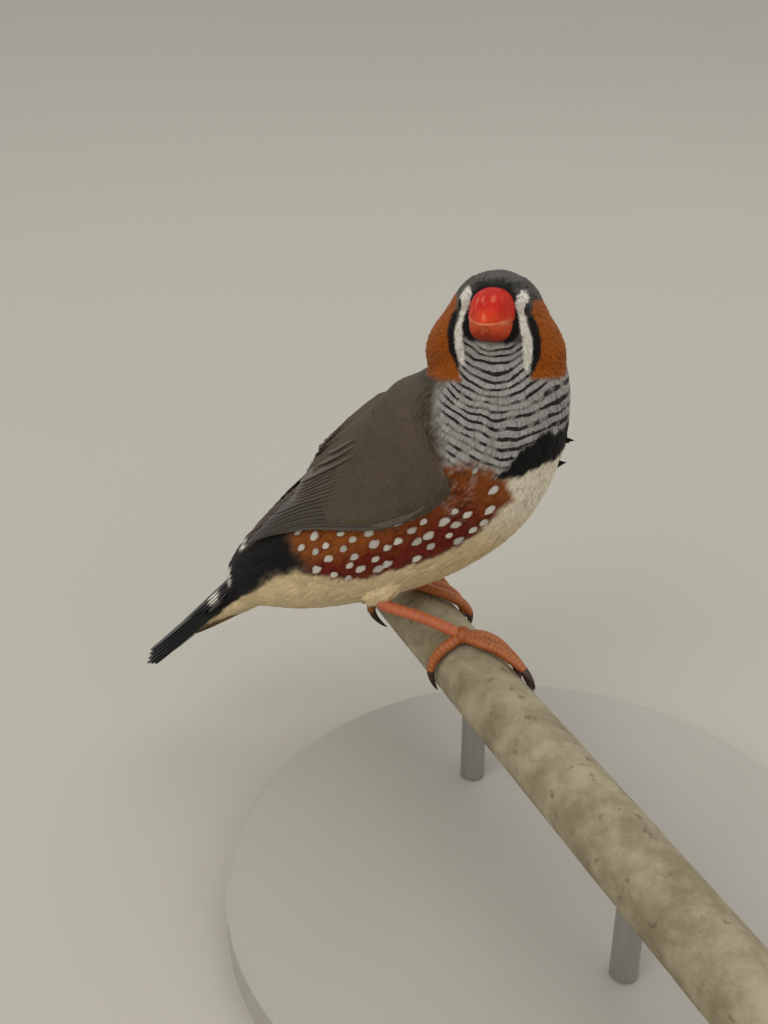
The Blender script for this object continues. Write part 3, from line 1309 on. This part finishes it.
def tail():
    draw = np.random.default_rng(71)
    vanes = []
    for tier, (pairs, root, width, apart, over, drop, full, roundness, lift, reach) in TAIL_TIERS.items():
        steps = 26 if tier == "rectrix" else 16
        for k in range(pairs * 2):
            side = 1 if k % 2 else -1
            pair = k // 2
            t = np.linspace(0, 1, steps)
            centre = tail_point(
                mix(root, reach(pair), t),
                side * (apart[0] + pair * apart[1]) * mix(0.6, 1, t),
                over - pair * drop + lift * t - (0 if side > 0 else drop / 2),
            )
            facing = -1 if tier == "undertail" else 1
            out = np.broadcast_to(unit(TAIL_OUT + TAIL_SIDE * side * 0.12), centre.shape) * facing
            half = blade(width, full, roundness, steps)
            points, faces, uv, marks = vane(centre, out, half, 0.2, 0.16, draw, len(vanes), 6)
            base = {"rectrix": BLACK * 1.1, "uppertail": BLACK, "undertail": CREAM}[tier]
            colour = np.broadcast_to(base, points.shape).copy()
            if tier != "undertail":
                colour = mix(colour, WHITE, tail_bars(points, noise(points, 0.9, 1) - 0.5)[:, None])
            colour = colour * (0.85 + 0.3 * noise(points, 2, 12))[:, None]
            vanes.append((points, faces, uv, marks, np.clip(colour, 0, 1)))
    piece = vane_piece("tail_feathers", vane_plumage("tail_feathers", 0.1, 0.5), vanes)
    carried(piece, "plumage_tail", "tail")


tail()


# Bill

GAPE = np.array([(0, -1.2), (4, -1.4), (6.5, -1.6), (9, -1.75), (11.5, -2)])
NOSTRILS = (4.9, 1.5, 2.6)
BILL_ABOVE, BILL_BELOW = 0.88, 0.6  # how boxy its sections are


def bill_half(upper):
    rows = np.array(BILL_ROWS, float)
    row = np.linspace(0, len(rows) - 1, 90)
    line = through(rows, row)
    forward, top, bottom, half = line.T
    angle = np.linspace(0, 2 * np.pi, 96, endpoint=False)[None, :]
    c, s = np.cos(angle), np.sin(angle)
    power = np.where(c > 0, BILL_ABOVE, BILL_BELOW)
    e = half[:, None] * np.sign(s) * np.abs(s) ** power
    u = (top + bottom)[:, None] / 2 + (top - bottom)[:, None] / 2 * np.sign(c) * np.abs(c) ** power
    gape = np.interp(forward, GAPE[:, 0], GAPE[:, 1])[:, None] + 0.1 * (e / 3.5) ** 2
    lip = 0.1 + 0.12 * smooth(4, 1.5, np.abs(e))
    if upper:
        u = np.maximum(u, gape + 0.08 - 0.9 * lip * smooth(3, 8, forward)[:, None])
    else:
        u = np.minimum(u, gape - 0.08)
        e = e * 0.955
    rings = head_point(np.broadcast_to(forward[:, None], u.shape), e, u)
    points, faces = closed_rings(rings)
    f, e, u = head_place(points)
    dent = np.zeros(len(points))
    if upper:
        for side in (RIGHT, LEFT):
            nostril = head_point(NOSTRILS[0] - 0.6, side * NOSTRILS[1], NOSTRILS[2] + 0.35)
            away = np.linalg.norm(points - nostril, axis=1)
            dent = np.maximum(dent, smooth(0.5, 0.15, away))
        points = points - (FORWARD * 0.8 + CROWNWARD * 0.6) * (0.35 * dent)[:, None]
    n = noise(np.stack([e * 2.4, f * 0.7, u * 0.7], -1), 1.0, 14) - 0.5
    if upper:
        colour = mix(srgb(176, 24, 5), srgb(190, 52, 16), smooth(0.9, -1.6, u + 1.5 * n)[:, None])
        colour = mix(colour, srgb(140, 16, 8), (smooth(3.4, 1.4, f) * 0.5)[:, None])
    else:
        colour = mix(srgb(188, 70, 34), srgb(168, 44, 16), smooth(-2.4, -4.2, u + n)[:, None])
    worn = smooth(0.2, 0.02, np.abs(u - np.interp(f, GAPE[:, 0], GAPE[:, 1])) - 0.05)
    colour = mix(colour, srgb(224, 150, 112), (0.55 * worn * smooth(2.5, 6, f))[:, None])
    colour = mix(colour, srgb(216, 120, 84), (smooth(0.16, 0.32, n) * 0.4 * smooth(3.5, 8, f))[:, None])
    colour = mix(colour, srgb(30, 6, 4), (smooth(0.3, 0.8, dent) * 0.9)[:, None])
    return points, outward(points, faces), np.clip(colour, 0, 1)


STREAKS = (420, 4.0, 0.6, (1.0, 0.35, 0.35))
horn = mesh_look(
    "bill_horn", STREAKS, (0.7, 0.65), (0.45, 0.00015), ((900,), (0.3, 0.45)), roughness=0.6, specular=0.15
)
for name, upper in (("bill_upper", True), ("bill_lower", False)):
    points, faces, colours = bill_half(upper)
    carried(mesh_object(f"{name}_horn", points, faces, horn, colours), name, name)


# Eyes and lids

LID_TUFTS = 170
OPENING, OPENING_BACK, LID_REACH = (0.96, 1.12), 0.14, 1.55


def lid_point(side, share, turn, lift=0.0):
    """A place on the lids. Share 0 is the opening's edge, 1 the edge under the coat, turn 0 the rear."""
    at, facing, across = eye_frame(side)
    rear = across * side
    high = CROWNWARD - facing * (CROWNWARD @ facing)
    high = high / np.linalg.norm(high)
    a = mix(OPENING_BACK + OPENING[0] * np.cos(turn), LID_REACH * np.cos(turn), share)
    b = mix(OPENING[1] * np.sin(turn), LID_REACH * np.sin(turn), share)
    depth = np.sqrt(np.maximum(EYE_RADIUS**2 - a**2 - b**2, 0.04)) + lift
    return at + rear * a[..., None] + high * b[..., None] + facing * depth[..., None]


def lid_colour(points, front, share):
    """Dark at the edge, a thin pale arc behind and below, and the white of the lores in front."""
    ground, _ = markings(points)
    arc = smooth(0.06, 0.14, share) * smooth(0.4, 0.24, share) * smooth(-0.1, -0.6, front)
    colour = mix(np.broadcast_to(srgb(24, 21, 19), points.shape), ground, smooth(0.2, 0.45, share)[:, None])
    colour = mix(colour, srgb(196, 190, 174), arc[:, None])
    fleck = noise(points, 0.28, 24)
    white = smooth(-0.1, 0.35, front) * smooth(0.02, 0.12, share)
    tone = WHITE * (0.55 + 0.45 * fleck)[:, None]
    tone = mix(tone, ASH, 0.8 * (smooth(0.6, 0.72, fleck) * smooth(1.4, 2.2, head_place(points)[2]))[:, None])
    return mix(colour, tone, white[:, None])


def lids(side, name):
    share = np.array([0, 0, 0.05, 0.12, 0.2, 0.3, 0.45, 0.62, 0.8, 1.0, 1.0])[:, None]
    lift = np.array([-0.1, 0.03, 0.1, 0.12, 0.09, 0.1, 0.07, 0.08, 0.08, 0.04, -0.6])[:, None]
    turn = np.linspace(0, 2 * np.pi, 120, endpoint=False)[None, :]
    wrinkle = 0.014 * np.sin(turn * 23) + 0.01 * np.sin(turn * 37 + 1)
    rings = lid_point(side, share + 0 * turn, turn + 0 * share, lift + wrinkle)
    count, sides = rings.shape[:2]
    i, j = np.meshgrid(np.arange(count), np.arange(sides), indexing="ij")
    k, l = (i + 1) % count, (j + 1) % sides
    quads = np.stack([i * sides + j, i * sides + l, k * sides + l, k * sides + j], -1).reshape(-1, 4)
    points = rings.reshape(-1, 3)
    front = np.broadcast_to(-np.cos(turn), (count, sides)).ravel()
    colours = lid_colour(points, front, np.broadcast_to(share, (count, sides)).ravel())
    carried(mesh_object(f"lids_{name}", points, outward(points, [quads]), rim_look, colours), "plumage_head")
    # Tiny feathers on the front of the lids
    draw = np.random.default_rng(101)
    turn = draw.uniform(0.52, 1.48, LID_TUFTS) * np.pi
    share = draw.uniform(0.12, 1.12, LID_TUFTS)
    root = lid_point(side, share, turn, 0.06)
    at, _, _ = eye_frame(side)
    out = unit(root - at)
    way = np.broadcast_to(-CROWNWARD - FORWARD * 0.35, root.shape)
    way = unit(way - out * (way * out).sum(-1, keepdims=True))
    length = draw.uniform(0.4, 0.6, LID_TUFTS)
    far = np.linalg.norm(root - at, axis=1)[:, None]
    line = np.stack([at + unit(root + way * (length * t)[:, None] - at) * far for t in (0, 0.5, 1)], 1)
    width, rise = np.full(LID_TUFTS, 0.3), np.full(LID_TUFTS, 0.1)
    points, faces, uv, owner, _, soft = tufts(line, np.stack([out] * 3, 1), width, rise, 4, draw, 0.04)
    colours = lid_colour(points, -np.cos(turn)[owner], np.maximum(share, 0.3)[owner])
    piece = mesh_object(f"coat_lids_{name}", points, faces, coat_look, colours, barred(points), uv, soft)
    carried(piece, "plumage_head")


WET = {"roughness": 0.1, "specular": 0.35, "coat": 0.12, "coat_roughness": 0.03}
ball_look = mesh_look("eye", (3000,), (0.6, 0.7), **WET)
rim_look = mesh_look("lid_skin", (3500, 3.0), (0.5, 0.75), (0.5, 0.00008), roughness=0.6, specular=0.3)
for side, name in ((RIGHT, "right"), (LEFT, "left")):
    at, facing, across = eye_frame(side)
    local = globe(48, 64, 0.01)
    turned = local[..., :1] * across + local[..., 1:2] * np.cross(facing, across) + local[..., 2:] * facing
    rings = at + EYE_RADIUS * turned
    points, faces = closed_rings(rings)
    off = np.degrees(np.arccos(np.clip(unit(points - at) @ facing, -1, 1)))
    colours = mix(srgb(6, 5, 5), srgb(40, 16, 10), (smooth(24, 28, off) * smooth(46, 40, off))[:, None])
    colours = mix(colours, srgb(12, 9, 8), smooth(40, 46, off)[:, None])
    ball = mesh_object(f"eye_ball_{name}", points, outward(points, faces), ball_look, colours)
    carried(ball, "eye", f"eye_{name}")
    lids(side, name)


# Legs and feet

TOE_RADIUS = 0.9
CLAW_RADIUS = 0.58
CLAW_SIDES = 14
ON_PERCH = PERCH_RADIUS + 0.3
KNOT_RADIUS = 1.45
FEET = {
    "right": (2, [
        ([(0, -8), (1.4, 18), (2.8, 40), (4.8, 54), (6.9, 64), (8.8, 74)], [(9.9, 84), (10.4, 96)], 0),
        ([(0.2, -6), (0.7, 20), (2, 46), (3.6, 66), (5, 82)], [(5.8, 94), (6.2, 106)], 0),
        ([(0.8, -6), (3.2, 6), (5.4, 24), (7.9, 36), (10.2, 46)], [(11.5, 56), (12, 68)], 0),
        ([(0, -10), (0, -32), (-0.4, -56), (-0.4, -80)], [(-0.1, -96), (0.5, -112)], 0),
    ]),
    "left": (-16, [
        ([(0, -8), (1, 16), (2, 40), (2.8, 62), (3.2, 84)], [(3.4, 98), (3.2, 111)], 0),
        ([(0.7, -6), (3.4, 8), (5.4, 30), (6.2, 52), (6.4, 68)], [(6.4, 82), (6.2, 95)], 0),
        ([(-0.8, -6), (-2.4, 16), (-2.6, 40), (-2.2, 64)], [(-2.2, 79), (-2, 93)], 0),
        ([(0, -10), (-2, -36), (-3.6, -62), (-4.4, -88)], [(-4.2, -105), (-3.4, -121)], 1.6),
    ]),
}
HEELS = {"right": np.array([-12.6, -8.4, 5]), "left": np.array([-20.6, 6.6, 3.8])}
TOE_SKIN = srgb(142, 74, 28)
TOE_PALE = srgb(172, 100, 52)
SHANK = srgb(174, 88, 58)
CLAW = srgb(46, 32, 25)


def limb(line, out, radius, sides, flat=0.92):
    """Rings about a line, with out the way that its upper side faces."""
    along = unit(np.gradient(line, axis=0))
    side = unit(np.cross(along, out))
    over = np.cross(side, along)
    turn = np.linspace(0, 2 * np.pi, sides, endpoint=False)
    c, s = np.cos(turn), np.sin(turn)
    reach = radius if radius.ndim == 2 else np.broadcast_to(radius[:, None], (len(line), sides))
    across, up = (reach * s)[..., None], (reach * flat * c)[..., None]
    return line[:, None] + side[:, None] * across + over[:, None] * up


def scaled_limb(line, out, base, pitch, rise, draw, paint):
    """A limb ringed with overlapping scales on its upper side and small pads below."""
    span = np.concatenate([[0], np.cumsum(np.linalg.norm(np.diff(line, axis=0), axis=1))])
    sides = 28
    turn = np.linspace(0, 2 * np.pi, sides, endpoint=False)[None, :]
    step = (span[:, None] / pitch + 0.08 * np.sin(turn)) % 1.0
    upper = smooth(-0.25, 0.35, np.cos(turn))
    lip = np.where(step < 0.82, step / 0.82, (1 - step) / 0.18)
    pads = 0.07 * np.maximum(0, -np.cos(turn)) * np.sin(2 * np.pi * span[:, None] / (pitch * 2.4)) ** 2
    reach = base[:, None] + rise * (lip - 0.6) * upper + pads
    rings = limb(line, out, reach, sides)
    shade = 1 - 0.22 * smooth(0.12, 0.0, np.minimum(step, 1 - step)) * upper
    share = np.clip(lip * 0.6 * upper + 0.15 * draw.random((len(line), 1)), 0, 1)
    colour = mix(paint[0], paint[1], share[..., None]) * shade[..., None]
    points, faces = closed_rings(rings)
    colour = colour.reshape(-1, 3)
    return points, outward(points, faces), np.concatenate([colour, colour[:1], colour[-1:]])


def scaly_look(name, scale, strength):
    grain = (scale, 4.0)
    relief, gloss = (strength, 0.0001), (grain, (0.3, 0.35))
    return mesh_look(name, grain, (0.6, 0.7), relief, gloss, roughness=0.5, specular=0.4)


leg_look = scaly_look("leg_scales", 1500, 0.5)
claw_look = scaly_look("claw_horn", 1200, 0.2)


def foot(name):
    at, toes = FEET[name]
    draw = np.random.default_rng(81)
    parts, colours, claw_parts, claw_colours = [], [], [], []
    for places, claw, lift in toes:
        path = np.array(places, float)
        rows = np.linspace(0, len(path) - 1, 64)
        along = through(path, rows)
        rise = lift * np.sin(np.pi * rows / len(path))
        line = round_perch(at + along[:, 0], along[:, 1], ON_PERCH + TOE_RADIUS + rise)
        axis = RIGHT_FOOT + ALONG * (at + along[:, :1]) - UP * PERCH_RADIUS
        out = unit(line - axis)
        taper = TOE_RADIUS * (1.02 - 0.26 * smooth(0.6, 1, rows / (len(path) - 1)))
        taper = taper * np.where(rows / (len(path) - 1) > 0.985, 0.82, 1)
        points, faces, colour = scaled_limb(line, out, taper, 0.8, 0.04, draw, (TOE_SKIN, TOE_PALE))
        parts.append((points, faces))
        colours.append(colour)
        nail = np.array([places[-2], places[-1], *claw], float)
        rows = np.linspace(0.75, 3, 26)
        along = through(nail, rows)
        t = np.clip((rows - 0.75) / 2.25, 0, 1)
        height = mix(TOE_RADIUS * 0.95 + lift * np.sin(np.pi * (len(path) - 1) / len(path)), 0.25, t)
        line = round_perch(at + along[:, 0], along[:, 1], ON_PERCH + height)
        axis = RIGHT_FOOT + ALONG * (at + along[:, :1]) - UP * PERCH_RADIUS
        rings = limb(line, unit(line - axis), CLAW_RADIUS * (1 - t) ** 0.75 + 0.05, CLAW_SIDES, 1.15)
        points, faces = closed_rings(rings)
        claw_parts.append((points, outward(points, faces)))
        darker = np.concatenate([np.repeat(t, CLAW_SIDES), [0, 1]])[:, None]
        claw_colours.append(np.clip(mix(CLAW * 1.6, CLAW * 0.5, darker), 0, 1))
    knot = round_perch(at, -9, ON_PERCH + TOE_RADIUS + 0.25)
    points, faces = closed_rings(knot + KNOT_RADIUS * globe(18, 24, 0.05))
    parts.append((points, outward(points, faces)))
    colours.append(TOE_SKIN * (0.85 + 0.35 * noise(points, 0.7, 18))[:, None])
    points, faces = merged(parts)
    piece = mesh_object(f"toes_{name}", points, faces, leg_look, np.clip(np.concatenate(colours), 0, 1))
    carried(piece, "leg_skin", f"foot_{name}")
    points, faces = merged(claw_parts)
    carried(mesh_object(f"claws_{name}", points, faces, claw_look, np.concatenate(claw_colours)), "leg_skin")
    heel = HEELS[name]
    knee = np.stack([knot, knot * 0.5 + heel * 0.5 + UP * 0.4, heel, heel + np.array([-0.3, 0.4, 0.9])])
    line = through(knee, np.linspace(0, 3, 90))
    front = np.cross(unit(heel - knot), np.cross(UP, unit(heel - knot)))
    front = np.broadcast_to(unit(front), line.shape)
    points, faces, colour = scaled_limb(line, front, np.full(90, 1.0), 1.2, 0.04, draw, (SHANK, TOE_PALE))
    piece = mesh_object(f"shank_{name}", points, faces, leg_look, np.clip(colour, 0, 1))
    carried(piece, "leg_skin", f"tarsus_{name}")


for name in FEET:
    foot(name)


# Perch and stand

def perch_look():
    made, tree, shader = material("perch_wood", roughness=0.85, specular=0.2)
    grain = lumps(tree, 170, 5.0, 0.65)
    fine = lumps(tree, 900, 4.0, 0.65)
    specks = ramp(tree, lumps(tree, 520, 2.0, 0.5), 0.64, 0.72)
    dull, bright = tuple(srgb(128, 117, 92)), tuple(srgb(168, 158, 132))
    colour = blend_colour(tree, ramp(tree, grain, 0.3, 0.7), dull, bright)
    colour = blend_colour(tree, maths(tree, "MULTIPLY", fine, 0.3), colour, tuple(srgb(104, 90, 66)))
    colour = blend_colour(tree, maths(tree, "MULTIPLY", specks, 0.45), colour, tuple(srgb(82, 68, 52)))
    tree.links.new(colour, shader.inputs["Base Color"])
    tree.links.new(scaled(tree, fine, 0.2, 0.74), shader.inputs["Roughness"])
    bump(tree, shader, maths(tree, "ADD", fine, maths(tree, "MULTIPLY", grain, 0.6)), 0.35, 0.0003)
    return made


u = np.linspace(PERCH_FAR, PERCH_NEAR, 240)
u = np.concatenate([[PERCH_FAR], u, [PERCH_NEAR]])
sides = 160
turn = np.broadcast_to(np.linspace(0, 360, sides, endpoint=False)[None, :], (len(u), sides))
ends = np.minimum(u - PERCH_FAR, PERCH_NEAR - u)[:, None]
reach = PERCH_RADIUS - 0.5 + 0.5 * np.sqrt(np.clip(1 - (1 - np.clip(ends / 0.5, 0, 1)) ** 2, 0, 1))
along = np.broadcast_to(u[:, None], turn.shape)
grid = round_perch(along, turn, np.full(turn.shape, PERCH_RADIUS))
reach = reach - 0.1 * noise(grid, 6, 15) - 0.05 * noise(grid, 1.6, 16)
rings = round_perch(along, turn, reach)
points, faces = closed_rings(rings)
carried(mesh_object("perch_round", points, outward(points, faces), perch_look()), "perch_wood", "perch")


def stand_look(name, tone, roughness, metallic):
    made, tree, shader = material(name, roughness=roughness, metallic=metallic)
    soft = lumps(tree, 25, 4.0)
    tree.links.new(times(tree, tuple(tone), scaled(tree, soft, 0.12, 0.94)), shader.inputs["Base Color"])
    fine = lumps(tree, 900, 3.0)
    tree.links.new(scaled(tree, fine, 0.15, roughness - 0.07), shader.inputs["Roughness"])
    bump(tree, shader, fine, 0.12, 0.0001)
    return made


def dress(name, look):
    """A solid shown as it is, with a look of its own."""
    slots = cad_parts[name].data.materials
    slots.clear()
    slots.append(look)


paint_look = stand_look("stand_paint", srgb(164, 160, 150), 0.65, 0.0)
metal_look = stand_look("stand_metal", srgb(176, 176, 173), 0.35, 1.0)
for name, look in (("stand_rod_far", metal_look), ("stand_rod_near", metal_look), ("stand_base", paint_look)):
    dress(name, look)


# Floor, light and camera

FLOOR_HALF = 6.0  # in metres


def floor():
    mesh = bpy.data.meshes.new("floor")
    corners = [(x * FLOOR_HALF, y * FLOOR_HALF, 0) for x, y in ((-1, -1), (1, -1), (1, 1), (-1, 1))]
    mesh.from_pydata(corners, [], [(0, 1, 2, 3)])
    made, tree, shader = material("floor_paper", roughness=0.9, specular=0.1)
    tone = blend_colour(tree, lumps(tree, 3.0), tuple(srgb(176, 172, 161)), tuple(srgb(181, 177, 167)))
    tree.links.new(tone, shader.inputs["Base Color"])
    mesh.materials.append(made)
    plane = bpy.data.objects.new("floor", mesh)
    bpy.context.scene.collection.objects.link(plane)


def lamp(name, at, target, size, energy, tone=(1, 1, 1)):
    light = bpy.data.lights.new(name, "AREA")
    light.shape = "DISK"
    light.size = size
    light.energy = energy
    light.color = tone
    made = bpy.data.objects.new(name, light)
    made.location = at
    made.rotation_euler = (Vector(target) - Vector(at)).to_track_quat("-Z", "Y").to_euler()
    bpy.context.scene.collection.objects.link(made)


LIT = (-0.01, 0.02, 0.06)  # what the lamps point at
floor()
lamp("key", (-0.35, -0.55, 0.65), LIT, 0.5, 2.0, (1.0, 0.97, 0.93))
lamp("fill", (0.6, -0.4, 0.35), LIT, 0.6, 0.7, (0.97, 0.98, 1.0))
lamp("top", (0.05, 0.25, 0.8), LIT, 0.9, 1.2)
world = bpy.data.worlds.new("studio")
world.use_nodes = True
world.node_tree.nodes["Background"].inputs["Color"].default_value = (1.0, 0.99, 0.97, 1)
world.node_tree.nodes["Background"].inputs["Strength"].default_value = 0.78
bpy.context.scene.world = world

bpy.context.scene.view_settings.view_transform = "Standard"

SENSOR, FOCAL_PIXELS, PICTURE_HEIGHT = 36, 1200, 1024
LOOK_DOWN, LOOK_ROUND = 27.133, 10  # in degrees
camera = bpy.data.cameras.new("camera")
camera.sensor_fit = "VERTICAL"
camera.sensor_height = SENSOR
camera.lens = SENSOR * FOCAL_PIXELS / PICTURE_HEIGHT
camera.clip_start = 0.01
shot = bpy.data.objects.new("camera", camera)
shot.location = (0.000637, -0.141377, 0.13904)
shot.rotation_euler = (math.radians(90 - LOOK_DOWN), 0, math.radians(LOOK_ROUND))
bpy.context.scene.collection.objects.link(shot)
bpy.context.scene.camera = shot
